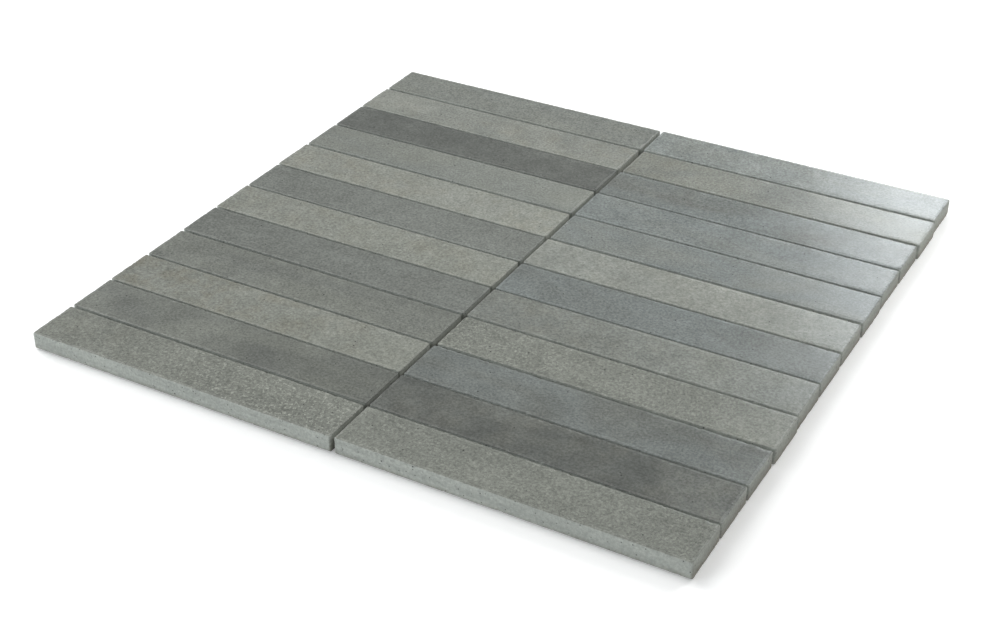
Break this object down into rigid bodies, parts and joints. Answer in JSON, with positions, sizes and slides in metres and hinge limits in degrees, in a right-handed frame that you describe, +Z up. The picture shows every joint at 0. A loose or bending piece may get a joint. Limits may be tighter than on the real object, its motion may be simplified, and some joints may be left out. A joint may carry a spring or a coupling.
{
  "type": "mosaic tile sheet",
  "caption": "Flat square mosaic sheet of long narrow honed stone strips, stacked in straight rows with open joints on a glued mesh backing.",
  "frame": {"origin": "middle of the sheet, on the underside of its mesh backing", "axes": "+X along the strips from the left column to the right one, +Y across the strips from the front row to the back row, +Z up out of the honed face"},
  "size_m": [0.2992, 0.2992, 0.008],
  "materials": {
    "honed_stone": "honed grey-green basalt, satin on the face and matt on the sawn sides",
    "backing_mesh": "open-weave white glass fibre mesh with dried adhesive"
  },
  "bodies": {
    "root": {"mesh_backing": "backing_mesh", "strip_left_01": "honed_stone", "strip_left_02": "honed_stone", "strip_left_03": "honed_stone", "strip_left_04": "honed_stone", "strip_left_05": "honed_stone", "strip_left_06": "honed_stone", "strip_left_07": "honed_stone", "strip_left_08": "honed_stone", "strip_left_09": "honed_stone", "strip_left_10": "honed_stone", "strip_left_11": "honed_stone", "strip_left_12": "honed_stone", "strip_right_01": "honed_stone", "strip_right_02": "honed_stone", "strip_right_03": "honed_stone", "strip_right_04": "honed_stone", "strip_right_05": "honed_stone", "strip_right_06": "honed_stone", "strip_right_07": "honed_stone", "strip_right_08": "honed_stone", "strip_right_09": "honed_stone", "strip_right_10": "honed_stone", "strip_right_11": "honed_stone", "strip_right_12": "honed_stone"}
  },
  "joints": []
}
